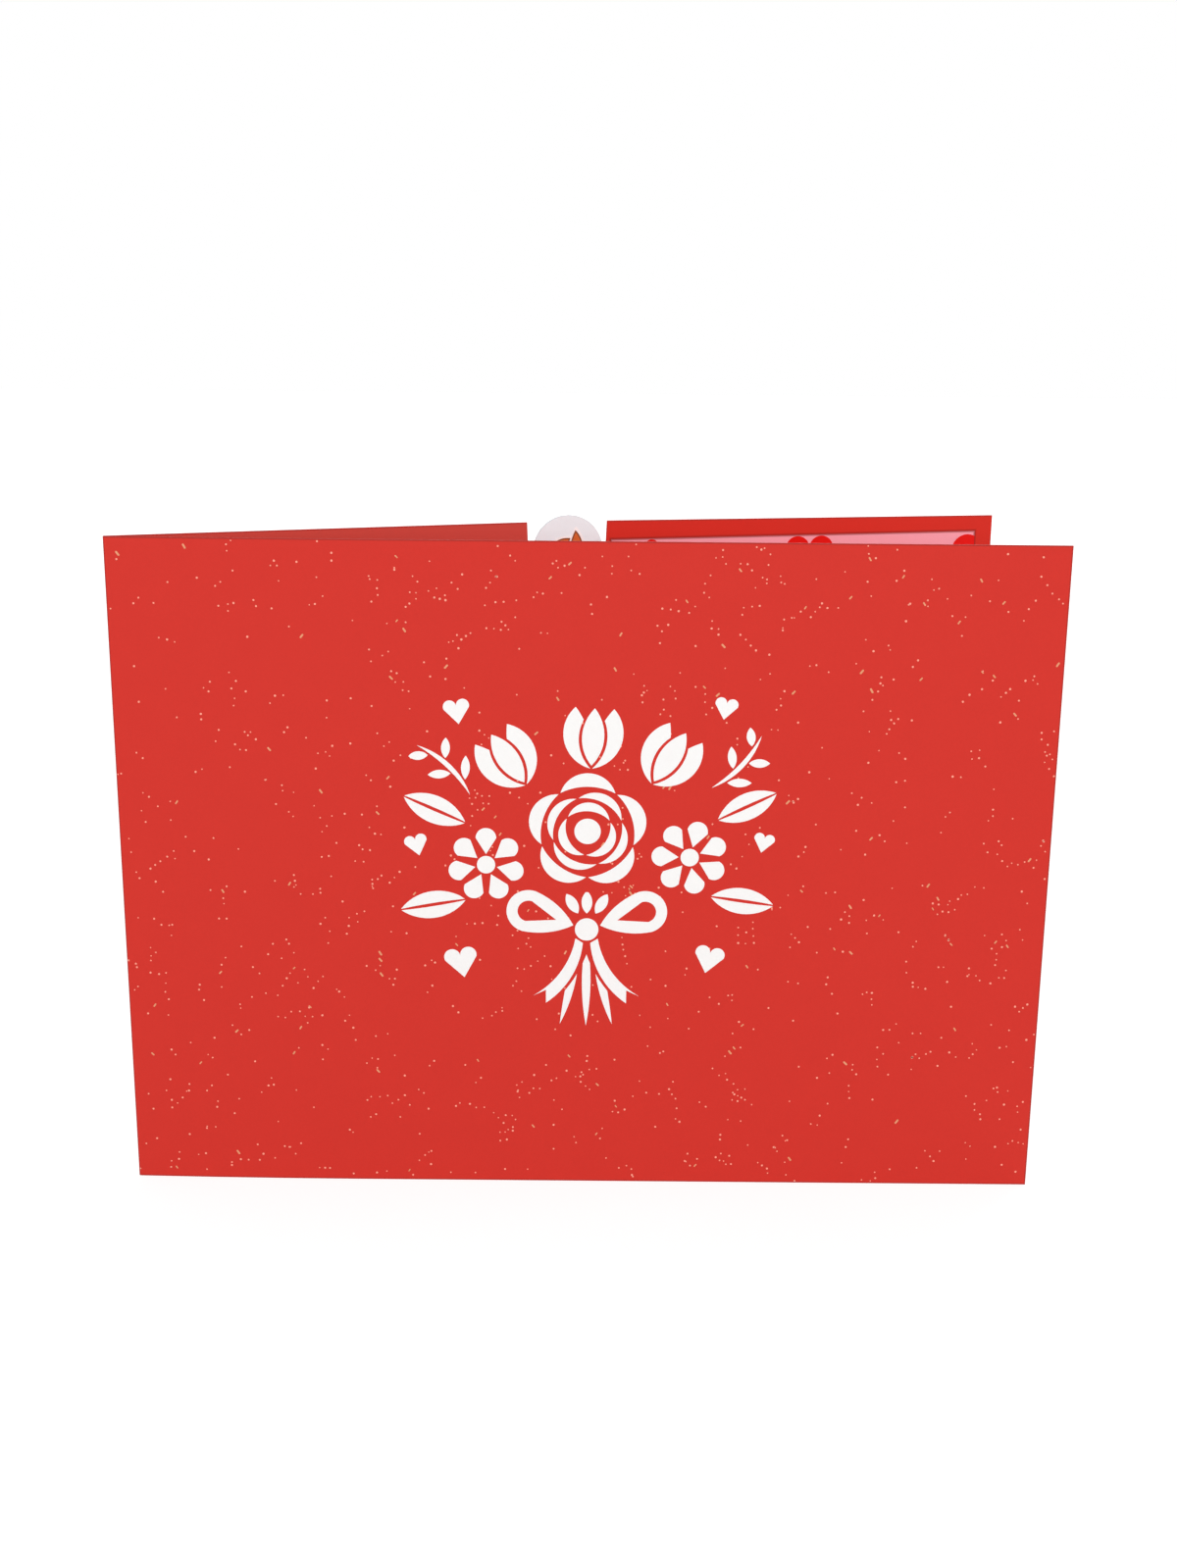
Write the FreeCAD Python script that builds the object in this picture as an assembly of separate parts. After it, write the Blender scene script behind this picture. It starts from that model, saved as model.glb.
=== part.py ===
import FreeCAD, Part
import math
import os

from FreeCAD import Placement, Rotation, Vector

# Folded greeting card, standing on its bottom edges with its fold at the left.
# Lengths are in millimetres and angles in degrees. +X runs from the fold along the front leaf,
# +Y from the front leaf to the back leaf, and +Z up. The front leaf's printed face looks along -Y.

# Cover: one sheet, folded once
leaf_length = 180.0            # from the fold to a leaf's free edge
card_height = 130.0
card_thickness = 0.35
fold_inner_radius = 0.15
opening_angle = 17.9           # between the front leaf and the back leaf, at the fold
bow_length = 45.0              # near the fold the front leaf bows back over this length
bow_rise = 0.7                 # and stands this far behind its own plane at the fold

# Slight crease down the middle of the back leaf
crease_position = 90.2         # from the fold, along the back leaf
crease_angle = 7.6
crease_inner_radius = 1.0

# Tapered notch in the back leaf's top edge, centred on the crease
notch_width = 16.4             # at the top edge
notch_depth = 15.0
notch_side_angle = 2.4         # each side leans inward this much on its way down
notch_corner_radius = 2.0

# Message liner, glued to the back leaf's inner side between the crease and the free edge
liner_thickness = 0.12
liner_end_margin = 3.7         # from the leaf's free edge
liner_top_margin = 3.2
liner_bottom_margin = 3.2
liner_crease_margin = 9.1      # from the crease
liner_tilt = 0.45              # glued on slightly askew: its end by the crease sits lower

# Printed hearts on the liner, in staggered rows: every third one is small and leans
ink_thickness = 0.05
liner_heart_width = 10.0
liner_heart_slack = 0.62       # the large hearts' flanks hang in by this much
small_heart_width = 5.5
small_heart_lean = -22.0
liner_heart_pitch = 35.4       # between hearts in one row
liner_heart_row_step = 42.0
liner_heart_first = 15.1       # first heart of the top row, from the crease
liner_heart_drop = 8.0         # centre of the top row, from the top edge

# Medallion: a disc that stands in the notch, on a stem glued over the crease
disc_radius = 7.1
disc_thickness = 0.5
disc_rise = 1.25               # top of the disc above the leaf's top edge
disc_offset = 0.2              # centre of the disc from the crease, towards the free edge
stem_width = 8.0
stem_thickness = 0.35
stem_glued_length = 26.0       # below the notch

# Leaf sprig printed on the disc
sprig_border = 0.38            # white border around each leaf
tall_leaf_length = 7.5
tall_leaf_width = 2.6
tall_leaf_bend = 0.6
low_leaf_length = 6.5
low_leaf_width = 3.1
small_leaf_length = 4.3
small_leaf_width = 2.2
stalk_length = 3.4
stalk_width = 0.9

# Bouquet printed on the front leaf
bouquet_centre_x = 0.5         # from the middle of the front leaf
bouquet_centre_z = 65.5
bouquet_width = 73.0           # spreads the places of the motifs, which keep their own sizes
print_gap = 0.75               # bare card left between one shape and the next
smallest_print = 0.3           # mm2: slivers under this area aren't printed
rose_radius = 11.6
daisy_radius = 7.4
daisy_petals = 7
tulip_length = 12.5
stem_print_length = 19.0
stem_print_width = 1.7
bow_loop_length = 13.5
bow_loop_width = 8.6
bow_loop_lean = 72.0
bow_tail_length = 14.5
bow_tail_width = 2.9
bow_tail_bend = 1.6
bow_tail_lean = 148.0
knot_radius = 2.3
bud_length = 4.6
bud_width = 2.1
spray_length = 14.0
spray_leaves = 4
spray_leaf_length = 4.2
spray_leaf_width = 1.7

os.makedirs("parts", exist_ok=True)


def direction(angle):
    """Unit vector in plan, turned from +X towards +Y."""
    return Vector(math.cos(math.radians(angle)), math.sin(math.radians(angle)), 0)


def sheet_section(start, heading, moves, thickness):
    """Section of a bent sheet in plan, walked along its outer face with the sheet on the right.

    A move is (length,) for a straight run or (outer radius, angle) for a bend to the right.
    The stations are the outer points, with their headings, where the moves meet.
    """
    outer, inner = [], []
    stations = [(start, heading)]
    for move in moves:
        point, heading = stations[-1]
        right = direction(heading - 90)
        if len(move) == 1:
            end = point + direction(heading) * move[0]
            outer.append(Part.makeLine(point, end))
            inner.append(Part.makeLine(point + right * thickness, end + right * thickness))
        else:
            radius, angle = move
            centre = point + right * radius
            spokes = [direction(heading + 90 - angle * share) for share in (0, 0.5, 1)]
            outer.append(Part.Arc(*[centre + spoke * radius for spoke in spokes]).toShape())
            inner_radius = radius - thickness
            inner.append(Part.Arc(*[centre + spoke * inner_radius for spoke in spokes]).toShape())
            end = centre + spokes[-1] * radius
            heading = heading - angle
        stations.append((end, heading))
    ends = []
    for point, angle in (stations[0], stations[-1]):
        ends.append(Part.makeLine(point, point + direction(angle - 90) * thickness))
    wire = Part.Wire(Part.__sortEdges__(outer + inner + ends))
    return Part.Face(wire), stations


def raised(face, height):
    return face.extrude(Vector(0, 0, height))


# Cover

def cover_moves():
    """The cover's outer face, from the front leaf's free edge round the fold to the back leaf's."""
    fold_radius = fold_inner_radius + card_thickness
    crease_radius = crease_inner_radius + card_thickness
    crease_half = crease_radius * math.tan(math.radians(crease_angle / 2))
    bow_run = bow_length - fold_radius
    bow_angle = 2 * math.degrees(math.atan(bow_rise / bow_run))
    bow_radius = bow_run / math.sin(math.radians(bow_angle))
    return [
        (leaf_length - bow_length,),
        (bow_radius, bow_angle),
        (fold_radius, 180 - bow_angle - opening_angle),
        (crease_position - fold_radius - crease_half,),
        (crease_radius, crease_angle),
        (leaf_length - crease_position - crease_half,),
    ]


def on_inner_side(point, heading, height=0.0):
    """Frame on the cover's inner side: local x along the sheet, local -y away from it, z up."""
    base = point + direction(heading - 90) * card_thickness + Vector(0, 0, height)
    return Placement(base, Rotation(Vector(0, 0, 1), heading))


def notch_cutter(frame):
    """Tapered tongue that is cut out of the back leaf, with round lower corners."""
    half_top = notch_width / 2
    slope = math.tan(math.radians(notch_side_angle))
    half_bottom = half_top - notch_depth * slope
    over = 2 * card_thickness
    profile = Part.makePolygon([
        Vector(-half_top - over * slope, 0, over),
        Vector(-half_bottom, 0, -notch_depth),
        Vector(half_bottom, 0, -notch_depth),
        Vector(half_top + over * slope, 0, over),
        Vector(-half_top - over * slope, 0, over),
    ])
    reach = 8 * card_thickness
    tongue = Part.Face(profile).extrude(Vector(0, 2 * reach, 0))
    tongue.translate(Vector(0, -reach, 0))
    corners = []
    for edge in tongue.Edges:
        low = [abs(vertex.Z + notch_depth) < 1e-6 for vertex in edge.Vertexes]
        if all(low) and abs(edge.Length - 2 * reach) < 1e-6:
            corners.append(edge)
    tongue = tongue.makeFillet(notch_corner_radius, corners)
    tongue.Placement = frame.multiply(tongue.Placement)
    return tongue


front_edge = Vector(leaf_length / 2, 0, 0)
section, stations = sheet_section(front_edge, 180, cover_moves(), card_thickness)
crease_start, crease_end = stations[4], stations[5]
leaf_end = stations[6]
crease_middle = (crease_start[0] + crease_end[0]) * 0.5
crease_heading = (crease_start[1] + crease_end[1]) / 2
top_of_crease = on_inner_side(crease_middle, crease_heading, card_height)
cover = raised(section, card_height).cut(notch_cutter(top_of_crease))


# Shapes for print, drawn in the XZ plane. Each is a flat field that starts at the origin and
# grows along +Z. lean turns it towards +X.

def bulge(start, end, offset):
    """Arc from start to end whose middle stands off the chord by offset, towards its right."""
    if abs(offset) < 1e-4:
        return Part.makeLine(start, end)
    chord = end - start
    side = Vector(chord.z, 0, -chord.x).normalize()
    return Part.Arc(start, (start + end) * 0.5 + side * offset, end).toShape()


def field(edges):
    return Part.Face(Part.Wire(edges))


def placed(face, x, z, lean=0.0):
    turn = Placement(Vector(x, 0, z), Rotation(Vector(0, 1, 0), lean))
    copy = face.copy()
    copy.Placement = turn.multiply(copy.Placement)
    return copy


def blade(length, width, bend=0.0):
    """Pointed brush stroke, leaf or petal between two arcs."""
    base, tip = Vector(0, 0, 0), Vector(0, 0, length)
    return field([bulge(base, tip, bend + width / 2), bulge(tip, base, width / 2 - bend)])


def round_petal(length, width, flank=0.0):
    """Petal with a pointed foot and a round head; its flanks stand off their chords by flank."""
    half = width / 2
    shoulder = length - half
    foot, head = Vector(0, 0, 0), Vector(0, 0, length)
    left, right = Vector(-half, 0, shoulder), Vector(half, 0, shoulder)
    return field([
        bulge(foot, right, flank),
        Part.Arc(right, head, left).toShape(),
        bulge(left, foot, flank),
    ])


def heart(width, slack=0.0):
    """Heart around the origin, its tip down. Its flanks hang in from their chords by slack."""
    cleft, tip = Vector(0, 0, 0.22 * width), Vector(0, 0, -0.5 * width)
    edges = []
    for side in (1, -1):
        crown = Vector(side * 0.26 * width, 0, 0.46 * width)
        flank = Vector(side * 0.485 * width, 0, 0.124 * width)
        edges.append(Part.Arc(cleft, crown, flank).toShape())
        edges.append(bulge(flank, tip, -side * slack))
    return field(Part.__sortEdges__(edges))


def dot(radius):
    circle = Part.makeCircle(radius, Vector(0, 0, 0), Vector(0, -1, 0))
    return field([circle])


def crescent(end_radius, outer_radius, inner_radius, middle, span):
    """Rose petal: two arcs between the same two points, around the origin."""
    def polar(radius, angle):
        turn = math.radians(angle)
        return Vector(radius * math.sin(turn), 0, radius * math.cos(turn))
    first = polar(end_radius, middle - span / 2)
    last = polar(end_radius, middle + span / 2)
    outside = Part.Arc(first, polar(outer_radius, middle), last).toShape()
    inside = Part.Arc(last, polar(inner_radius, middle), first).toShape()
    return field([outside, inside])


def ribbon_tail(length, width, bend):
    """Ribbon end with a swallow tail."""
    half = width / 2
    head_left, head_right = Vector(-half * 0.6, 0, 0), Vector(half * 0.6, 0, 0)
    foot_left, foot_right = Vector(-half, 0, length), Vector(half, 0, length)
    fork = Vector(0, 0, length - width * 0.8)
    return field([
        bulge(head_right, foot_right, bend),
        Part.makeLine(foot_right, fork),
        Part.makeLine(fork, foot_left),
        bulge(foot_left, head_left, -bend),
        Part.makeLine(head_left, head_right),
    ])


def inked(faces, frame):
    """Thin ink solids on the face that looks along -Y in the given frame."""
    solids = []
    for face in faces:
        for flat in face.Faces:
            if flat.Area < smallest_print:
                continue
            solid = flat.extrude(Vector(0, -ink_thickness, 0))
            solid.Placement = frame.multiply(solid.Placement)
            solids.append(solid)
    return Part.makeCompound(solids)


# Bouquet: each motif is its white shapes and the field that it keeps clear of what lies behind it

def rose():
    """Rings of petals around a dot: radius at their ends, outside and inside, count and first angle."""
    rings = (
        (0.80, 1.00, 0.77, 5, 0),
        (0.59, 0.70, 0.56, 4, 28),
        (0.41, 0.50, 0.35, 3, 5),
    )
    shapes = [dot(0.22 * rose_radius)]
    for ends, outside, inside, count, first in rings:
        radii = [share * rose_radius for share in (ends, outside, inside)]
        step = 360 / count
        span = step - math.degrees(0.6 * print_gap / radii[0])
        for index in range(count):
            shapes.append(crescent(*radii, first + index * step, span))
    return shapes, dot(rose_radius + print_gap)


def daisy():
    eye = 0.24 * daisy_radius
    petal_foot = eye + 0.5 * print_gap
    petal = placed(round_petal(daisy_radius - petal_foot, 0.54 * daisy_radius), 0, petal_foot)
    shapes = [dot(eye)]
    for index in range(daisy_petals):
        shapes.append(placed(petal, 0, 0, index * 360 / daisy_petals))
    return shapes, dot(daisy_radius + print_gap)


def tulip():
    middle_width, outer_width = 0.34 * tulip_length, 0.4 * tulip_length
    around = placed(blade(tulip_length, middle_width + 1.6 * print_gap), 0, -0.06 * tulip_length)
    shapes = [blade(0.9 * tulip_length, middle_width)]
    clear = [placed(blade(tulip_length + 3 * print_gap, 2 * middle_width), 0, -1.5 * print_gap)]
    for side in (1, -1):
        lean = side * 17
        petal = blade(tulip_length, outer_width, side * 0.1 * tulip_length)
        shapes.append(placed(petal, 0, -0.05 * tulip_length, lean).cut(around))
        reach, breadth = tulip_length + 3 * print_gap, outer_width + 2 * print_gap
        wide = blade(reach, breadth, side * 0.1 * tulip_length)
        clear.append(placed(wide, 0, -0.05 * tulip_length - 1.5 * print_gap, lean))
    return shapes, clear[0].multiFuse(clear[1:])


def split_leaf(length, width):
    """Leaf in two halves, with a bare midrib between them."""
    rib = placed(blade(1.3 * length, 0.9 * print_gap), 0, -0.15 * length)
    clear = placed(blade(length + 3 * print_gap, width + 2 * print_gap), 0, -1.5 * print_gap)
    return [blade(length, width).cut(rib)], clear


def spray():
    """Curved stalk with small leaves on alternate sides."""
    swing = 0.09 * spray_length
    shapes = [blade(spray_length, 0.55 * stem_print_width, swing)]
    for index in range(spray_leaves):
        share = (index + 1) / (spray_leaves + 1)
        side = -1 if index % 2 else 1
        x = 4 * swing * share * (1 - share) + side * print_gap
        leaf = blade(spray_leaf_length * (1.2 - 0.4 * share), spray_leaf_width)
        shapes.append(placed(leaf, x, share * spray_length, side * 48))
    return shapes, None


def bow():
    shapes, clear = [dot(knot_radius)], [dot(knot_radius + print_gap)]
    foot = knot_radius + 0.6 * print_gap
    flank = 0.1 * bow_loop_width
    loop = placed(round_petal(bow_loop_length, bow_loop_width, flank), 0, foot)
    hollow = round_petal(0.58 * bow_loop_length, 0.5 * bow_loop_width)
    hollow = placed(hollow, 0, foot + 0.26 * bow_loop_length)
    loop_clear = round_petal(bow_loop_length + foot + print_gap, bow_loop_width + 2 * print_gap, flank)
    for side in (1, -1):
        shapes.append(placed(loop.cut(hollow), 0, 0, side * bow_loop_lean))
        clear.append(placed(loop_clear, 0, 0, side * bow_loop_lean))
        tail = placed(ribbon_tail(bow_tail_length, bow_tail_width, side * bow_tail_bend), 0, foot)
        shapes.append(placed(tail, 0, 0, side * bow_tail_lean))
        tail_reach, tail_breadth = bow_tail_length + foot + print_gap, bow_tail_width + 2 * print_gap
        tail_clear = ribbon_tail(tail_reach, tail_breadth, side * bow_tail_bend)
        clear.append(placed(tail_clear, 0, 0, side * bow_tail_lean))
    return shapes, clear[0].multiFuse(clear[1:])


def stroke(length, width, bend=0.0):
    return [blade(length, width, bend)], None


def bouquet():
    """Motifs in order from the front to the back, each with its place x, z and lean."""
    unit = bouquet_width / 73
    tie = -11.5
    motifs = [(bow(), 0, tie, 0), (rose(), 0, 8.5, 0)]
    motifs += [(daisy(), -19.6, 1.6, 0), (daisy(), 19.8, 3.4, 15)]
    motifs += [(tulip(), -12.2, 18.2, -34), (tulip(), 12.6, 18.6, 32), (tulip(), 0.6, 21.6, 3)]
    leaves = (
        (-23.5, -5.5, -100, 13.0),
        (24.0, -4.5, 98, 12.5),
        (-23.5, 10.0, -66, 13.0),
        (25.0, 11.0, 64, 12.5),
    )
    for x, z, lean, length in leaves:
        motifs.append((split_leaf(length * unit, 0.42 * length * unit), x, z, lean))
    motifs += [(spray(), -22.6, 15.6, -46), (spray(), 23.6, 17.4, 42)]
    for x, lean in ((-1.7, -30), (0, 0), (1.7, 30)):
        motifs.append((stroke(bud_length, bud_width), x, tie + 3.3, lean))
    for lean in (-11, 0, 11):
        stem = stroke(stem_print_length, stem_print_width, 0.04 * lean * unit)
        motifs.append((stem, 0.14 * lean, tie - 1.2, 180 - lean))
    shown, hidden = [], None
    for (shapes, clear), x, z, lean in motifs:
        for shape in shapes:
            shape = placed(shape, x * unit, z * unit, lean)
            shown.append(shape if hidden is None else shape.cut(hidden))
        if clear is not None:
            clear = placed(clear, x * unit, z * unit, lean)
            hidden = clear if hidden is None else hidden.fuse(clear)
    hearts = (
        (-33.0, 5.5, 4.4, -14),
        (-25.0, 32.0, 5.0, -8),
        (-24.5, -18.5, 6.4, -10),
        (34.0, 6.5, 4.0, 12),
        (26.0, 33.0, 4.4, 10),
        (24.0, -17.5, 5.8, 12),
    )
    for x, z, width, lean in hearts:
        shown.append(placed(heart(width * unit), x * unit, z * unit, lean))
    return shown


front_frame = Placement(Vector(bouquet_centre_x, 0, bouquet_centre_z), Rotation())
front_print = inked(bouquet(), front_frame)


# Message liner and its hearts

liner_length = leaf_length - crease_position - liner_crease_margin - liner_end_margin
liner_height = card_height - liner_bottom_margin - liner_top_margin
liner_start = -liner_end_margin - liner_length
liner_corner = Vector(-liner_end_margin, 0, card_height - liner_top_margin)
liner_turn = Placement(Vector(0, 0, 0), Rotation(Vector(0, 1, 0), -liner_tilt), liner_corner)
liner_frame = on_inner_side(leaf_end[0], leaf_end[1]).multiply(liner_turn)
message_liner = Part.makeBox(liner_length, liner_thickness, liner_height,
                             Vector(liner_start, -liner_thickness, liner_bottom_margin))
message_liner.Placement = liner_frame.multiply(message_liner.Placement)


def heart_rows():
    """Hearts in staggered rows, trimmed where the liner ends."""
    sheet = Part.Face(Part.makePolygon([
        Vector(liner_start, 0, liner_bottom_margin),
        Vector(liner_start + liner_length, 0, liner_bottom_margin),
        Vector(liner_start + liner_length, 0, card_height - liner_top_margin),
        Vector(liner_start, 0, card_height - liner_top_margin),
        Vector(liner_start, 0, liner_bottom_margin),
    ]))
    first = liner_heart_first - (leaf_length - crease_position)
    rows = math.ceil(card_height / liner_heart_row_step)
    columns = math.ceil(leaf_length / liner_heart_pitch)
    large = heart(liner_heart_width, liner_heart_slack)
    small = heart(small_heart_width)
    small = placed(small, 0.15 * liner_heart_width, 0.17 * liner_heart_width, small_heart_lean)
    shapes = []
    for row in range(rows):
        z = card_height - liner_heart_drop - row * liner_heart_row_step
        shift = 0.5 * liner_heart_pitch * (row % 2)
        for column in range(-columns, columns + 1):
            shape = small if (row + column) % 3 == 0 else large
            trimmed = placed(shape, first + column * liner_heart_pitch + shift, z).common(sheet)
            shapes += trimmed.Faces
    return shapes


liner_face = liner_frame.multiply(Placement(Vector(0, -liner_thickness, 0), Rotation()))
liner_hearts = inked(heart_rows(), liner_face)


# Medallion

disc_centre_z = card_height + disc_rise - disc_radius
disc_centre = Vector(disc_offset, -disc_thickness, disc_centre_z)
stem_moves = [(stem_width / 2,), (crease_inner_radius, crease_angle), (stem_width / 2,)]
stem_section, stem_stations = sheet_section(Vector(0, 0, 0), crease_angle / 2, stem_moves, stem_thickness)
stem_bottom = card_height - notch_depth - stem_glued_length
stem = raised(stem_section, disc_centre_z - stem_bottom)
bend_middle = (stem_stations[1][0] + stem_stations[2][0]) * 0.5
stem.translate(Vector(-bend_middle.x, -bend_middle.y, stem_bottom))
disc_foot = math.sqrt(disc_radius ** 2 - (stem_width / 2) ** 2)
proud = Part.makeBox(2 * stem_width, stem_width, 2 * disc_radius)
proud.translate(Vector(-stem_width, -disc_thickness - stem_width, disc_centre_z - disc_foot))
stem = stem.cut(proud)         # flush with the disc's printed face
disc = Part.makeCylinder(disc_radius, disc_thickness, disc_centre, Vector(0, 1, 0))
medallion = disc.fuse(stem).removeSplitter()
medallion_frame = on_inner_side(crease_middle, crease_heading)
medallion.Placement = medallion_frame.multiply(medallion.Placement)


def sprig(grow):
    """A tall leaf, a low one, a small one and a stalk around the disc's centre, grown all round."""
    leaves = (
        (0.6, -3.35, 6.5, tall_leaf_length, tall_leaf_width, tall_leaf_bend),
        (2.6, 1.4, -97, low_leaf_length, low_leaf_width, 0),
        (1.5, -2.1, 62, small_leaf_length, small_leaf_width, 0),
        (0.8, -2.6, 188, stalk_length, stalk_width, 0),
    )
    shapes = []
    for x, z, lean, length, width, bend in leaves:
        leaf = placed(blade(length + 4 * grow, width + 2 * grow, bend), 0, -2 * grow)
        shapes.append(placed(leaf, x, z, lean))
    return shapes


disc_face = medallion_frame.multiply(Placement(disc_centre, Rotation()))
border_face = disc_face.multiply(Placement(Vector(0, -ink_thickness, 0), Rotation()))
borders = sprig(sprig_border)
leaves = sprig(0)
medallion_border = inked([borders[0].multiFuse(borders[1:]).removeSplitter()], disc_face)
medallion_leaves = inked([leaves[0]] + [leaf.cut(borders[0]) for leaf in leaves[1:]], border_face)


# The origin is the middle of the whole card's box, on the surface it stands on

pieces = {
    "cover": cover,
    "front_print": front_print,
    "message_liner": message_liner,
    "liner_hearts": liner_hearts,
    "medallion": medallion,
    "medallion_border": medallion_border,
    "medallion_leaves": medallion_leaves,
}
box = Part.makeCompound(list(pieces.values())).BoundBox
to_origin = Vector(-box.Center.x, -box.Center.y, -box.ZMin)
for name, shape in pieces.items():
    moved = shape.copy()
    moved.translate(to_origin)
    moved.exportStep("parts/" + name + ".step")
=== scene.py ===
import math
import random

import bmesh
import bpy
from mathutils import Matrix, Vector


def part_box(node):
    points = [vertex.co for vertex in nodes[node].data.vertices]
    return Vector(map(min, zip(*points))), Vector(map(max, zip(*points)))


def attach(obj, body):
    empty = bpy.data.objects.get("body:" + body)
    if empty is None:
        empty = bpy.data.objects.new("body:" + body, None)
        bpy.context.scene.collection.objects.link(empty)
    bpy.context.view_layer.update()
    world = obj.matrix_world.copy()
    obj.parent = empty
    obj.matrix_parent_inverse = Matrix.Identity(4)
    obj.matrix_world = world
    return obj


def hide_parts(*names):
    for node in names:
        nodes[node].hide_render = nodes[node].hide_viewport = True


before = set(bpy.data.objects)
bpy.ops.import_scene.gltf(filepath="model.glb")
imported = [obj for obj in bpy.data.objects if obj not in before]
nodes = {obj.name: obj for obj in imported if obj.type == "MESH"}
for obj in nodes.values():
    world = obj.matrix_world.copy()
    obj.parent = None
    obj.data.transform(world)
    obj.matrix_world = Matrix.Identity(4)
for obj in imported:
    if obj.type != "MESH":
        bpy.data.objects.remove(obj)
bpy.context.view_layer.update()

mm = 0.001
sameCorner = 0.001 * mm                               # corners nearer than this are one
frontward = -0.5                                      # front faces have a normal whose y is lower
coverLow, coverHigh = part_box("cover")
medallionLow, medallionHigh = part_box("medallion")
creaseX = (medallionLow.x + medallionHigh.x) / 2      # the medallion stands over the back leaf's crease
print("frame loaded:", len(nodes), "nodes")


# sRGB hex to the linear colour that Blender works in
def linear(hexColour):
    parts = [int(hexColour[i:i + 2], 16) / 255 for i in (1, 3, 5)]
    return [p / 12.92 if p <= 0.04045 else ((p + 0.055) / 1.055) ** 2.4 for p in parts] + [1.0]


# adds one node: settings are its own options or its sockets' values, links are its inputs' sources
def addNode(tree, kind, settings=None, links=None):
    node = tree.nodes.new(kind)
    for name, value in (settings or {}).items():
        if isinstance(name, int) or name in node.inputs:
            node.inputs[name].default_value = value
        else:
            setattr(node, name, value)
    for name, source in (links or {}).items():
        tree.links.new(source, node.inputs[name])
    return node


def newMaterial(name):
    material = bpy.data.materials.new(name)
    material.use_nodes = True
    material.node_tree.nodes.clear()
    return material, material.node_tree


# gives a node of the frame its material and its slot
def dressNode(name, material):
    node = nodes[name]
    node.data.materials.clear()
    node.data.materials.append(material)


# adds a mesh as a piece of the card, which has one body
def addPiece(name, mesh, material):
    mesh.materials.append(material)
    piece = bpy.data.objects.new(name, mesh)
    bpy.context.scene.collection.objects.link(piece)
    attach(piece, "root")
    return piece


# a node's mesh to work on, with its corners joined
def shapeOf(name):
    shape = bmesh.new()
    shape.from_mesh(nodes[name].data)
    bmesh.ops.remove_doubles(shape, verts=shape.verts, dist=sameCorner)
    return shape


# raises flat faces by lift into a closed film of ink
def thicken(shape, faces, lift):
    raised = bmesh.ops.extrude_face_region(shape, geom=faces)["geom"]
    moved = [item for item in raised if isinstance(item, bmesh.types.BMVert)]
    bmesh.ops.translate(shape, verts=moved, vec=lift)
    bmesh.ops.recalc_face_normals(shape, faces=shape.faces)


def finishedMesh(shape, name):
    mesh = bpy.data.meshes.new(name)
    shape.to_mesh(mesh)
    shape.free()
    return mesh


# the front face of a flat sheet: its upper corner at the free end, and the ways along it, up it and out of it
def sheetFrame(name):
    mesh = nodes[name].data
    facing = [face for face in mesh.polygons if face.normal.y < frontward]
    corners = [mesh.vertices[i].co for face in facing for i in face.vertices]
    corner = max(corners, key=lambda at: at.x + at.z)
    along = (corner - max(corners, key=lambda at: at.z - at.x)).normalized()
    up = (corner - max(corners, key=lambda at: at.x - at.z)).normalized()
    return corner.copy(), along, up, facing[0].normal.copy()


# how far a node reaches each way: the way, then its lowest and highest place in mm
def spans(name, ways):
    reach = []
    for way in ways:
        places = [vertex.co.dot(way) / mm for vertex in nodes[name].data.vertices]
        reach.append((way, min(places), max(places)))
    return reach


linerCorner, linerAlong, linerUp, linerOut = sheetFrame("message_liner")
linerEdges = spans("message_liner", (linerAlong, linerUp))


# object coordinates in millimetres, so that a pattern's scale is one over its real size
def millimetres(tree):
    coords = addNode(tree, "ShaderNodeTexCoord")
    return addNode(tree, "ShaderNodeVectorMath", {"operation": "MULTIPLY", 1: (1 / mm,) * 3},
                   {0: coords.outputs["Object"]}).outputs[0]


# what all the papers and inks have in common: how their two patterns are broken up, and where borders start
grain = {
    "cloudDetail": 3.0,
    "toothDetail": 4.0, "toothRoughness": 0.6,
    "toothLow": 0.3, "toothHigh": 0.7,          # the tooth's usual lowest and highest values
    "roughnessSpread": 0.05,
    "borderSamples": 8,
    "borderFrom": 0.995, "borderFull": 0.8,     # cosines of the turn from the true face to the rounded one
    "bandFull": 0.4,                            # an edge band is full within this share of its width
}


# 1 on the borders of a shape, where the true face turns away from the rounded one
def borderMask(tree, width):
    rounded = addNode(tree, "ShaderNodeBevel", {"samples": grain["borderSamples"], "Radius": width})
    geometry = addNode(tree, "ShaderNodeNewGeometry")
    agree = addNode(tree, "ShaderNodeVectorMath", {"operation": "DOT_PRODUCT"},
                    {0: rounded.outputs[0], 1: geometry.outputs["True Normal"]})
    return addNode(tree, "ShaderNodeMapRange",
                   {"From Min": grain["borderFrom"], "From Max": grain["borderFull"]},
                   {"Value": agree.outputs["Value"]}).outputs[0]


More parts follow.
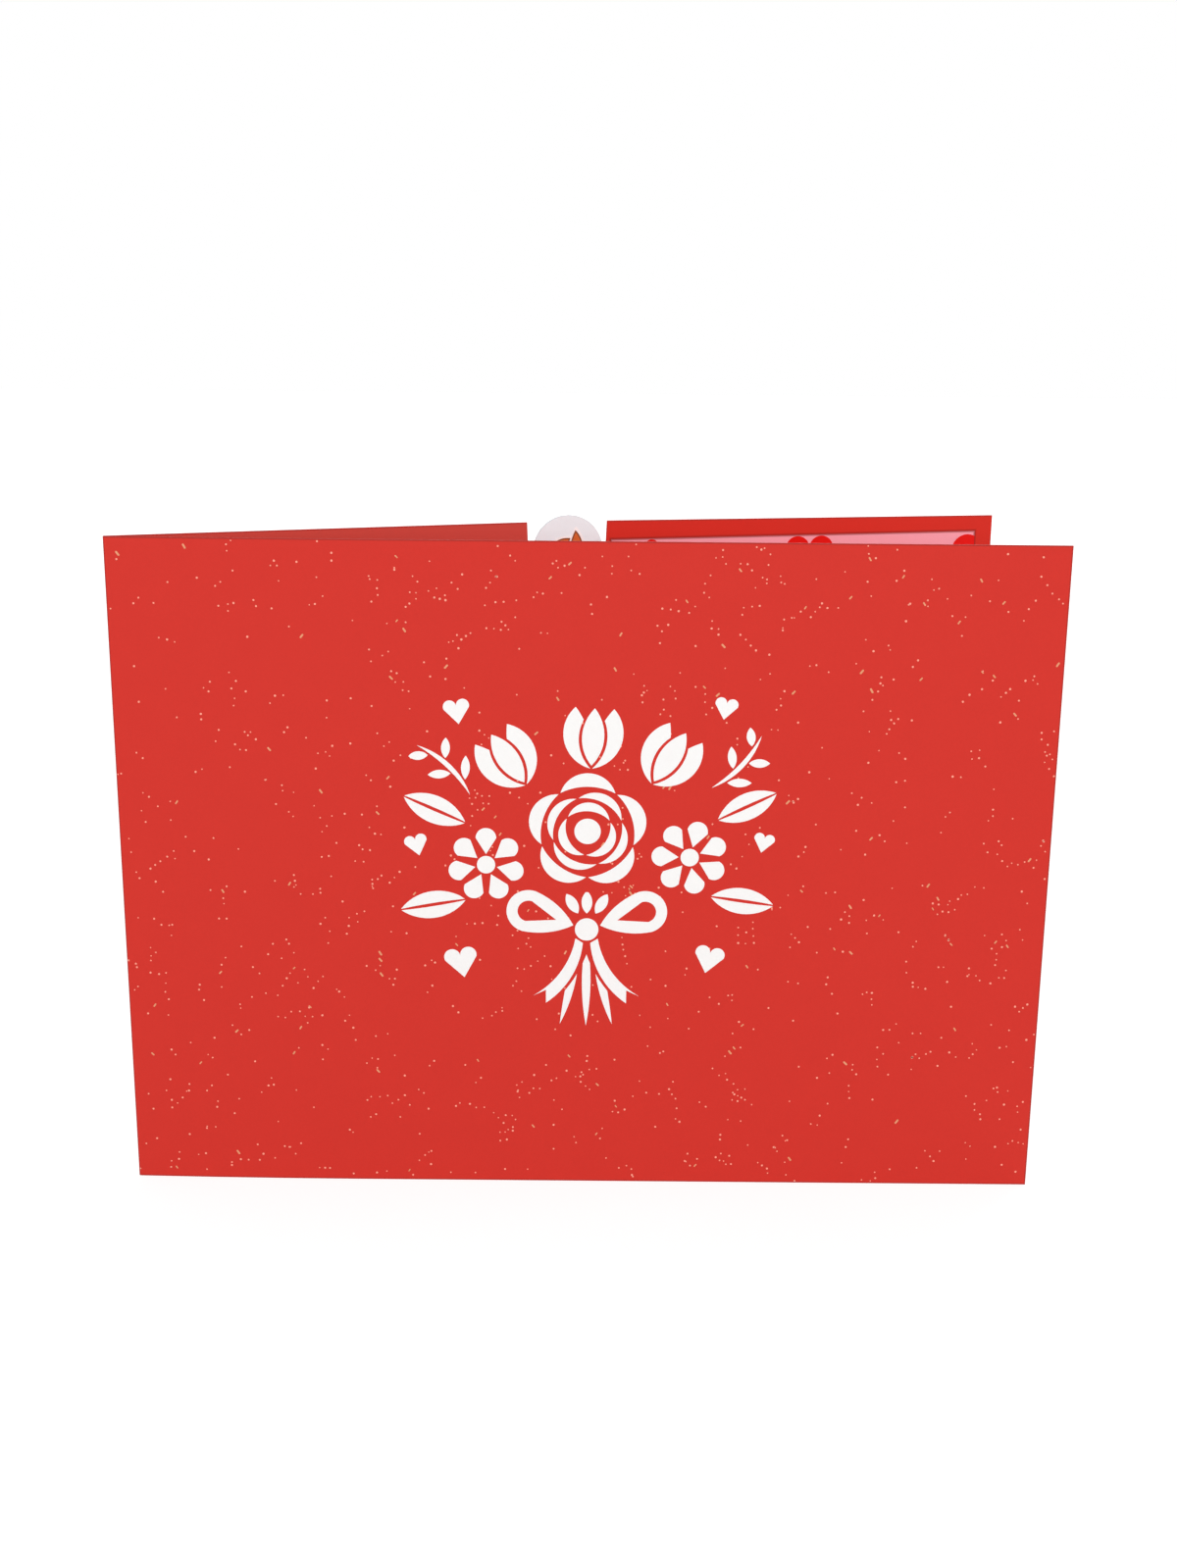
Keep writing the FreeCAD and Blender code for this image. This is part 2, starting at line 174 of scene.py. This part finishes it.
# from 0 at start to 1 at full, which are distances in mm inside a sheet's nearest straight border
def edgeBand(tree, place, reach, start, full):
    nearest = None
    for way, low, high in reach:
        along = addNode(tree, "ShaderNodeVectorMath", {"operation": "DOT_PRODUCT", 1: way}, {0: place})
        across = addNode(tree, "ShaderNodeMath", {"operation": "SUBTRACT", 1: (low + high) / 2},
                         {0: along.outputs["Value"]})
        off = addNode(tree, "ShaderNodeMath", {"operation": "ABSOLUTE"}, {0: across.outputs[0]})
        inside = addNode(tree, "ShaderNodeMath", {"operation": "SUBTRACT", 0: (high - low) / 2},
                         {1: off.outputs[0]}).outputs[0]
        if nearest:
            inside = addNode(tree, "ShaderNodeMath", {"operation": "MINIMUM"},
                             {0: nearest, 1: inside}).outputs[0]
        nearest = inside
    return addNode(tree, "ShaderNodeMapRange", {"From Min": start, "From Max": full},
                   {"Value": nearest}).outputs[0]


# a sheet of paper or a film of ink: two tones in clouds, flecks and roughness from its tooth, and a border
# of another tone; repaint may change the colour from place to place. Clouds of 4 to 7 mm are a paper's
# formation, and those of 1 to 3 mm an ink's mottle. The real tooth is about 0.1 mm across, too fine to show,
# so it is drawn three to five times as coarse
def paperLook(name, look, repaint=None):
    material, tree = newMaterial(name)
    place = millimetres(tree)
    cloud = addNode(tree, "ShaderNodeTexNoise",
                    {"Scale": 1 / look["cloudSize"], "Detail": grain["cloudDetail"]}, {"Vector": place})
    tooth = addNode(tree, "ShaderNodeTexNoise",
                    {"Scale": 1 / look["toothSize"], "Detail": grain["toothDetail"],
                     "Roughness": grain["toothRoughness"]}, {"Vector": place})
    body = addNode(tree, "ShaderNodeMix",
                   {"data_type": "RGBA", 6: linear(look["tone"]), 7: linear(look["secondTone"])},
                   {0: cloud.outputs[0]})
    fleck = addNode(tree, "ShaderNodeMapRange",
                    {"From Min": grain["toothLow"], "From Max": grain["toothHigh"],
                     "To Min": 1 - look["fleck"], "To Max": 1 + look["fleck"]}, {"Value": tooth.outputs[0]})
    grained = addNode(tree, "ShaderNodeVectorMath", {"operation": "SCALE"},
                      {0: body.outputs[2], "Scale": fleck.outputs[0]})
    painted = repaint(tree, place, grained.outputs[0]) if repaint else grained.outputs[0]
    border = borderMask(tree, look["borderWidth"])
    if "edgeWidth" in look:
        band = edgeBand(tree, place, look["edges"], look["edgeWidth"], grain["bandFull"] * look["edgeWidth"])
        border = addNode(tree, "ShaderNodeMath", {"operation": "MAXIMUM"}, {0: border, 1: band}).outputs[0]
    colour = addNode(tree, "ShaderNodeMix", {"data_type": "RGBA", 7: linear(look["borderTone"])},
                     {0: border, 6: painted})
    roughness = addNode(tree, "ShaderNodeMapRange",
                        {"To Min": look["roughness"] - grain["roughnessSpread"],
                         "To Max": look["roughness"] + grain["roughnessSpread"]}, {"Value": tooth.outputs[0]})
    bump = addNode(tree, "ShaderNodeBump",
                   {"Strength": look["toothStrength"], "Distance": look["toothHeight"]},
                   {"Height": tooth.outputs[0]})
    shader = addNode(tree, "ShaderNodeBsdfPrincipled",
                     {"IOR": look["ior"], "Specular IOR Level": look["specular"]},
                     {"Base Color": colour.outputs[2], "Roughness": roughness.outputs[0],
                      "Normal": bump.outputs[0]})
    addNode(tree, "ShaderNodeOutputMaterial", links={"Surface": shader.outputs[0]})
    return material


# greeting card board, dyed red all through and calendered. It gives the eye an even, matt, warm red with
# hardly any shine, and a darker line where it is cut or folded
card = {
    "tone": "#D6352B", "secondTone": "#D3332A",
    "borderTone": "#B02E27",
    "cloudSize": 7.0, "toothSize": 0.45, "fleck": 0.02,
    "toothStrength": 0.25, "toothHeight": 0.02 * mm,
    "borderWidth": 0.26 * mm, "roughness": 0.65, "ior": 1.5, "specular": 0.15,
    "edges": spans("cover", (Vector((1, 0, 0)), Vector((0, 0, 1)))), "edgeWidth": 0.34,
    "shadeNearFold": "#C9473D", "shadeBeyondCrease": "#D22D21",   # painted shade on the inner face: darker and greyer near the fold, a fuller red beyond the crease
    "frontLeafDepth": 1.3,                                      # mm: what lies deeper is the back leaf
    "creaseSoftness": 1.0,                                      # mm to each side of the crease
    "linerShadow": "#A3251C", "linerShadowFrom": 0.5, "linerShadowFull": 0.15,   # mm outside the liner
}


# the back leaf's inner face, with painted shade: darker and greyer from the fold to the crease, a darker,
# fuller red beyond it, and a painted shadow round the liner
def insideOfCard(tree, place, colour):
    axes = addNode(tree, "ShaderNodeSeparateXYZ", {}, {0: place})
    geometry = addNode(tree, "ShaderNodeNewGeometry")
    facing = addNode(tree, "ShaderNodeSeparateXYZ", {}, {0: geometry.outputs["True Normal"]})
    behind = addNode(tree, "ShaderNodeMath",
                     {"operation": "GREATER_THAN", 1: coverLow.y / mm + card["frontLeafDepth"]},
                     {0: axes.outputs["Y"]})
    inner = addNode(tree, "ShaderNodeMath", {"operation": "LESS_THAN", 1: frontward},
                    {0: facing.outputs["Y"]})
    both = addNode(tree, "ShaderNodeMath", {"operation": "MULTIPLY"},
                   {0: behind.outputs[0], 1: inner.outputs[0]})
    beyond = addNode(tree, "ShaderNodeMapRange",
                     {"From Min": creaseX / mm - card["creaseSoftness"],
                      "From Max": creaseX / mm + card["creaseSoftness"]}, {"Value": axes.outputs["X"]})
    # painted shade: darker and greyer from the fold to the crease, a darker, fuller red beyond it
    inside = addNode(tree, "ShaderNodeMix",
                     {"data_type": "RGBA",
                      6: linear(card["shadeNearFold"]), 7: linear(card["shadeBeyondCrease"])},
                     {0: beyond.outputs[0]})
    # painted shadow: a darker band on the card just outside the liner's edges
    linerShadowBand = edgeBand(tree, place, linerEdges, -card["linerShadowFrom"], -card["linerShadowFull"])
    shaded = addNode(tree, "ShaderNodeMix", {"data_type": "RGBA", 7: linear(card["linerShadow"])},
                     {0: linerShadowBand, 6: inside.outputs[2]})
    return addNode(tree, "ShaderNodeMix", {"data_type": "RGBA"},
                   {0: both.outputs[0], 6: colour, 7: shaded.outputs[2]}).outputs[2]


dressNode("cover", paperLook("dyed_smooth_card", card, insideOfCard))

# opaque screen ink, laid on thickly. It gives the eye a flat, clean white that hides the red under it, with a
# soft sheen, and lets a hint of red through at its borders, where it is thin. The ring on the disc is white
# litho ink, which looks the same at this size
whiteInk = {
    "tone": "#FCFCFB", "secondTone": "#FAF8F6",
    "borderTone": "#F6E4E0",
    "cloudSize": 2.5, "toothSize": 0.3, "fleck": 0.01,
    "toothStrength": 0.15, "toothHeight": 0.01 * mm,
    "borderWidth": 0.06 * mm, "roughness": 0.5, "ior": 1.5, "specular": 0.35,
}
dressNode("front_print", paperLook("opaque_screen_ink", whiteInk))
dressNode("medallion_border", paperLook("white_litho_ink", whiteInk))

# smooth text paper, tinted in the pulp. It gives the eye a soft, even pink, thinner than the card, with a
# line of painted shade along its cut edges
pinkPaper = {
    "tone": "#F7A3B0", "secondTone": "#F59FAC",
    # painted shade: a darker tone on the sheet's borders and in the band of edgeWidth along its cut edges
    "borderTone": "#B9666B",
    "cloudSize": 5.0, "toothSize": 0.4, "fleck": 0.012,
    "toothStrength": 0.2, "toothHeight": 0.015 * mm,
    "borderWidth": 0.08 * mm, "roughness": 0.6, "ior": 1.5, "specular": 0.3,
    "edges": linerEdges, "edgeWidth": 0.35,
}
dressNode("message_liner", paperLook("smooth_text_paper", pinkPaper))

# litho ink, printed flat from a plate. It gives the eye a pure red, stronger than the card's and sharp at
# its edge
redInk = {
    "tone": "#E40E07", "secondTone": "#E00C06",
    "borderTone": "#CC0E08",
    "cloudSize": 3.0, "toothSize": 0.35, "fleck": 0.015,
    "toothStrength": 0.15, "toothHeight": 0.01 * mm,
    "borderWidth": 0.05 * mm, "roughness": 0.5, "ior": 1.5, "specular": 0.15,
}

# the heart at the liner's upper end is larger than the others, and the sheet's end cuts it off
endHeart = {
    "width": 13.5 * mm,
    "pastEnd": 1.85 * mm, "belowTop": 6.85 * mm,    # its middle, from the liner's upper corner
    "lobeRadius": 0.25, "lobeHeight": 0.21,         # shares of the width, as the next two are
    "tipDepth": 0.5, "hollow": 0.06,                # hollow is how far the flanks curve in
    "lobeFrom": 178, "lobeTo": -20,                 # degrees round a lobe, from the cleft to the flank
    "lobeSides": 18, "flankSides": 6,
    "height": 0.05 * mm,
    "clearing": 12.0 * mm,                          # the plain heart in its place lies this near the corner
}


# points round the heart, its tip down, as x and z from its middle
def heartOutline():
    width, radius = endHeart["width"], endHeart["lobeRadius"]
    sweep = endHeart["lobeTo"] - endHeart["lobeFrom"]
    half = []
    for i in range(endHeart["lobeSides"] + 1):
        angle = math.radians(endHeart["lobeFrom"] + sweep * i / endHeart["lobeSides"])
        x = radius + radius * math.cos(angle)
        z = endHeart["lobeHeight"] + radius * math.sin(angle)
        half.append((width * x, width * z))
    flank, tip = Vector(half[-1]), Vector((0, -endHeart["tipDepth"] * width))
    inward = Vector((tip.y - flank.y, flank.x)).normalized() * endHeart["hollow"] * width
    for i in range(1, endHeart["flankSides"]):
        share = i / endHeart["flankSides"]
        half.append(tuple(flank.lerp(tip, share) + inward * 4 * share * (1 - share)))
    return half + [tuple(tip)] + [(-x, z) for x, z in reversed(half)]


# the liner's printed hearts, with the one at its upper end made anew
def makeLinerHearts(name, source, material):
    shape = shapeOf(source)
    plain = [vertex for vertex in shape.verts if (vertex.co - linerCorner).length < endHeart["clearing"]]
    bmesh.ops.delete(shape, geom=plain, context="VERTS")
    middle = linerCorner + linerAlong * endHeart["pastEnd"] - linerUp * endHeart["belowTop"]
    rim = [shape.verts.new(middle + linerAlong * x + linerUp * z) for x, z in heartOutline()]
    whole = shape.faces.new(rim)
    kept = bmesh.ops.bisect_plane(shape, geom=rim + whole.edges[:] + [whole], plane_co=linerCorner,
                                  plane_no=linerAlong, clear_outer=True)["geom"]
    left = [item for item in kept if isinstance(item, bmesh.types.BMFace)]
    thicken(shape, left, linerOut * endHeart["height"])
    piece = addPiece(name, finishedMesh(shape, name), material)
    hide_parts(source)


makeLinerHearts("liner_hearts_print", "liner_hearts", paperLook("flat_litho_ink", redInk))

# smooth white-lined board, a little grey. It gives the eye a cool, pale disc, paler than anything but the
# white ink, that takes on some red from the leaves beside it
greyCard = {
    "tone": "#F0FAFD", "secondTone": "#ECF6FA",
    "borderTone": "#D3DADE",
    "cloudSize": 4.0, "toothSize": 0.35, "fleck": 0.01,
    "toothStrength": 0.2, "toothHeight": 0.015 * mm,
    "borderWidth": 0.25 * mm, "roughness": 0.58, "ior": 1.5, "specular": 0.3,
}
dressNode("medallion", paperLook("smooth_grey_board", greyCard))

# litho ink in two tones of orange brown. It gives the eye warm leaves that darken towards their outlines
brownInk = {
    "tone": "#DA6B28", "secondTone": "#D06022",
    "borderTone": "#82461E",
    "cloudSize": 1.2, "toothSize": 0.3, "fleck": 0.03,
    "toothStrength": 0.15, "toothHeight": 0.01 * mm,
    "borderWidth": 0.3 * mm, "roughness": 0.5, "ior": 1.5, "specular": 0.35,
}
dressNode("medallion_leaves", paperLook("orange_brown_litho_ink", brownInk))


# line printed round each leaf of the sprig, in a dark brown litho ink. It gives the eye a crisp drawn edge
leafOutline = {
    "lineWidth": 0.27 * mm, "lineHeight": 0.012 * mm,
    "flatWithin": 1,                                # degrees: faces that turn less are drawn as one
}
lineInk = dict(brownInk, tone="#8A4A24", secondTone="#7A3F1E", borderTone="#6E381B", borderWidth=0.01 * mm)


def makeLeafOutline(name, source, material):
    shape = shapeOf(source)
    printed = [face for face in shape.faces if face.normal.y < frontward]
    bmesh.ops.delete(shape, geom=[face for face in shape.faces if face not in printed], context="FACES")
    bmesh.ops.dissolve_limit(shape, angle_limit=math.radians(leafOutline["flatWithin"]),
                             verts=[], edges=shape.edges)
    ring = bmesh.ops.inset_region(shape, faces=shape.faces[:], thickness=leafOutline["lineWidth"],
                                  use_boundary=True, use_even_offset=True)["faces"]
    bmesh.ops.delete(shape, geom=[face for face in shape.faces if face not in ring], context="FACES")
    thicken(shape, shape.faces[:], ring[0].normal * leafOutline["lineHeight"])
    piece = addPiece(name, finishedMesh(shape, name), material)


makeLeafOutline("leaf_outline", "medallion_leaves", paperLook("dark_brown_litho_ink", lineInk))
print("card, liner and medallion dressed")


# specks printed all over the front leaf's outer face, under the white print
specks = {
    "seed": 14,
    "perSquareMm": 0.058,
    "dotWidth": 0.36 * mm, "dotSpread": 0.28,         # share by which a speck's size varies
    "dashLength": 0.85 * mm, "dashWidth": 0.33 * mm, "dashShare": 0.07,
    "dashLeanMin": 42, "dashLeanMax": 62,             # degrees
    "stepMin": 1.0 * mm, "stepMax": 1.8 * mm,         # from one speck of a little group to the next
    "headings": 8, "headingSpread": 0.2,              # a group steps roughly along one of these many ways
    "groupTurns": (-1, 0, 0, 1, 2),                   # in steps from one such way to the next
    "groupSizes": (1,) * 12 + (2,) * 3 + (3, 4),
    "margin": 0.35 * mm,
    "height": 0.02 * mm,
    "sides": 8,
    "castFrom": 10 * mm,                              # in front of the leaf, to find its face
}

# litho inks of the specks, a pale peach and a dull gold. They give the eye a fine warm dust on the red
peachInk = dict(redInk, tone="#FFAE98", secondTone="#FF9C86", borderTone="#F59A80", borderWidth=0.02 * mm)
goldInk = dict(redInk, tone="#F2A684", secondTone="#DE9468", borderTone="#C98A5A", borderWidth=0.02 * mm,
               cloudSize=2.0)


# places of all specks on the leaf: x, z and whether each is a dash
def speckPlaces(draw):
    low = Vector((coverLow.x, coverLow.z)) + Vector((specks["margin"],) * 2)
    high = Vector((coverHigh.x, coverHigh.z)) - Vector((specks["margin"],) * 2)
    area = (high.x - low.x) * (high.y - low.y) / mm ** 2
    headingStep = 2 * math.pi / specks["headings"]
    places = []
    while len(places) < area * specks["perSquareMm"]:
        x, z = draw.uniform(low.x, high.x), draw.uniform(low.y, high.y)
        heading = draw.randrange(specks["headings"]) * headingStep
        for _ in range(draw.choice(specks["groupSizes"])):
            if low.x < x < high.x and low.y < z < high.y:
                places.append((x, z, draw.random() < specks["dashShare"]))
            spread = specks["headingSpread"]
            heading += draw.choice(specks["groupTurns"]) * headingStep + draw.uniform(-spread, spread)
            stride = draw.uniform(specks["stepMin"], specks["stepMax"])
            x += stride * math.cos(heading)
            z += stride * math.sin(heading)
    return places


# points round a speck with half-round ends, turned from level; a dot is as long as it is wide
def capsule(length, width, turn):
    half = (length - width) / 2
    points = []
    for i in range(specks["sides"]):
        angle = 2 * math.pi * (i + 0.5) / specks["sides"]
        x = math.cos(angle) * width / 2 + math.copysign(half, math.cos(angle))
        z = math.sin(angle) * width / 2
        points.append((x * math.cos(turn) - z * math.sin(turn), x * math.sin(turn) + z * math.cos(turn)))
    return points


# a closed flat tablet of ink on the leaf; outline points are along the leaf and up
def addTablet(vertices, faces, centre, out, outline):
    along, up = Vector((-out.y, out.x, 0)).normalized(), Vector((0, 0, 1))
    first, count = len(vertices), len(outline)
    for lift in (0, specks["height"]):
        vertices += [centre + along * x + up * z + out * lift for x, z in outline]
    faces.append([first + i for i in reversed(range(count))])
    faces.append([first + count + i for i in range(count)])
    for i in range(count):
        j = (i + 1) % count
        faces.append([first + i, first + j, first + count + j, first + count + i])


def makeSpecks():
    draw = random.Random(specks["seed"])
    cover = nodes["cover"]
    dots, dashes = ([], []), ([], [])
    for x, z, isDash in speckPlaces(draw):
        eye = Vector((x, coverLow.y - specks["castFrom"], z))
        found, at, out, _ = cover.ray_cast(eye, Vector((0, 1, 0)))
        if not found:
            continue
        size = 1 + draw.uniform(-1, 1) * specks["dotSpread"]
        if isDash:
            side = draw.choice((-1, 1))
            lean = side * math.radians(draw.uniform(specks["dashLeanMin"], specks["dashLeanMax"]))
            outline = capsule(specks["dashLength"] * size, specks["dashWidth"] * size, lean)
            addTablet(*dashes, at, out, outline)
        else:
            outline = capsule(specks["dotWidth"] * size, specks["dotWidth"] * size, 0)
            addTablet(*dots, at, out, outline)
    return dots, dashes


dots, dashes = makeSpecks()
for name, (vertices, faces), ink, look in (("front_speck_dots", dots, "peach_litho_ink", peachInk),
                                           ("front_speck_dashes", dashes, "gold_litho_ink", goldInk)):
    mesh = bpy.data.meshes.new(name)
    mesh.from_pydata(vertices, [], faces)
    mesh.update()
    addPiece(name, mesh, paperLook(ink, look))
    print(name, "made:", len(faces) // (specks["sides"] + 2))


# studio: places and sizes in metres, powers in watts
studio = {
    "floorSize": 5.0, "floorTone": "#BCBCBC",
    "glowNear": 0.67, "glowFar": 0.82,           # the lamps light the floor less further out
    "glowFrom": 0.3, "glowReach": 1.2,
    "skyStrength": 0.42,
    "keyPlace": (-0.3, -2.0, 1.15), "keySize": 2.0, "keyPower": 35.5,
    "rearPlace": (0.7, 2.0, 1.4), "rearSize": 2.0, "rearPower": 33.0,
    "sidePlace": (1.7, -0.5, 0.7), "sideSize": 1.5, "sidePower": 9.0,   # lights the open side of the card
}


# 1 where the camera, a glossy surface or a clear one looks straight at it
def seenStraight(tree):
    path = addNode(tree, "ShaderNodeLightPath")
    mirrored = addNode(tree, "ShaderNodeMath", {"operation": "MAXIMUM"},
                       {0: path.outputs["Is Glossy Ray"], 1: path.outputs["Is Transmission Ray"]})
    return addNode(tree, "ShaderNodeMath", {"operation": "MAXIMUM"},
                   {0: path.outputs["Is Camera Ray"], 1: mirrored.outputs[0]}).outputs[0]


# white all round, and to reflections, with a plain even light of its own on the object
def makeSky():
    world = bpy.data.worlds.new("studio")
    bpy.context.scene.world = world
    world.use_nodes = True
    tree = world.node_tree
    tree.nodes.clear()
    strength = addNode(tree, "ShaderNodeMapRange", {"To Min": studio["skyStrength"], "To Max": 1.0},
                       {"Value": seenStraight(tree)})
    sky = addNode(tree, "ShaderNodeBackground", {"Color": (1, 1, 1, 1)}, {"Strength": strength.outputs[0]})
    addNode(tree, "ShaderNodeOutputWorld", links={"Surface": sky.outputs[0]})


# floor of matt background paper, a pale grey. It gives the eye plain white away from the card, and keeps the
# card's shadow
def makeFloor():
    half = studio["floorSize"] / 2
    corners = [(-half, -half, 0), (half, -half, 0), (half, half, 0), (-half, half, 0)]
    mesh = bpy.data.meshes.new("floor")
    mesh.from_pydata(corners, [], [(0, 1, 2, 3)])
    floor = bpy.data.objects.new("floor", mesh)
    bpy.context.scene.collection.objects.link(floor)
    material, tree = newMaterial("pale_studio_floor")
    coords = addNode(tree, "ShaderNodeTexCoord")
    distance = addNode(tree, "ShaderNodeVectorMath", {"operation": "LENGTH"}, {0: coords.outputs["Object"]})
    needed = addNode(tree, "ShaderNodeMapRange",
                     {"From Min": studio["glowFrom"], "From Max": studio["glowReach"],
                      "To Min": studio["glowNear"], "To Max": studio["glowFar"]},
                     {"Value": distance.outputs["Value"]})
    glow = addNode(tree, "ShaderNodeMath", {"operation": "MULTIPLY"},
                   {0: seenStraight(tree), 1: needed.outputs[0]})
    paper = addNode(tree, "ShaderNodeBsdfDiffuse", {"Color": linear(studio["floorTone"])})
    light = addNode(tree, "ShaderNodeEmission", {"Color": (1, 1, 1, 1)}, {"Strength": glow.outputs[0]})
    both = addNode(tree, "ShaderNodeAddShader", {}, {0: paper.outputs[0], 1: light.outputs[0]})
    addNode(tree, "ShaderNodeOutputMaterial", links={"Surface": both.outputs[0]})
    mesh.materials.append(material)


# a square soft lamp, aimed at target
def makeLamp(lamp, target):
    place = Vector(studio[lamp + "Place"])
    data = bpy.data.lights.new(lamp + "_lamp", "AREA")
    data.size, data.energy = studio[lamp + "Size"], studio[lamp + "Power"]
    light = bpy.data.objects.new(lamp + "_lamp", data)
    light.location = place
    light.rotation_euler = (target - place).to_track_quat("-Z", "Y").to_euler()
    bpy.context.scene.collection.objects.link(light)


# camera, as the photograph was taken: its place is from the front leaf and the floor, its angles in degrees
camera = {
    "lens": 43.408, "sensor": 36.0,
    "sideways": -0.117 * mm, "inFront": 349.4 * mm, "above": 178.24 * mm,
    "yaw": 0.115, "pitch": 15.176, "roll": -0.5455,
}


def makeCamera():
    data = bpy.data.cameras.new("camera")
    data.lens, data.sensor_width = camera["lens"], camera["sensor"]
    view = bpy.data.objects.new("camera", data)
    yaw, pitch, roll = (math.radians(camera[name]) for name in ("yaw", "pitch", "roll"))
    right = Vector((math.cos(yaw), -math.sin(yaw), 0))
    ahead = Vector((math.sin(yaw) * math.cos(pitch), math.cos(yaw) * math.cos(pitch), -math.sin(pitch)))
    down = ahead.cross(right)
    turnedRight = right * math.cos(roll) + down * math.sin(roll)
    turnedDown = down * math.cos(roll) - right * math.sin(roll)
    turn = Matrix((turnedRight, -turnedDown, -ahead)).transposed().to_4x4()
    place = Vector((camera["sideways"], coverLow.y - camera["inFront"], camera["above"]))
    view.matrix_world = Matrix.Translation(place) @ turn
    bpy.context.scene.collection.objects.link(view)
    bpy.context.scene.camera = view


makeSky()
makeFloor()
for lamp in ("key", "rear", "side"):
    makeLamp(lamp, (coverLow + coverHigh) / 2)
makeCamera()
bpy.context.scene.view_settings.view_transform = "Standard"
print("studio and camera made")
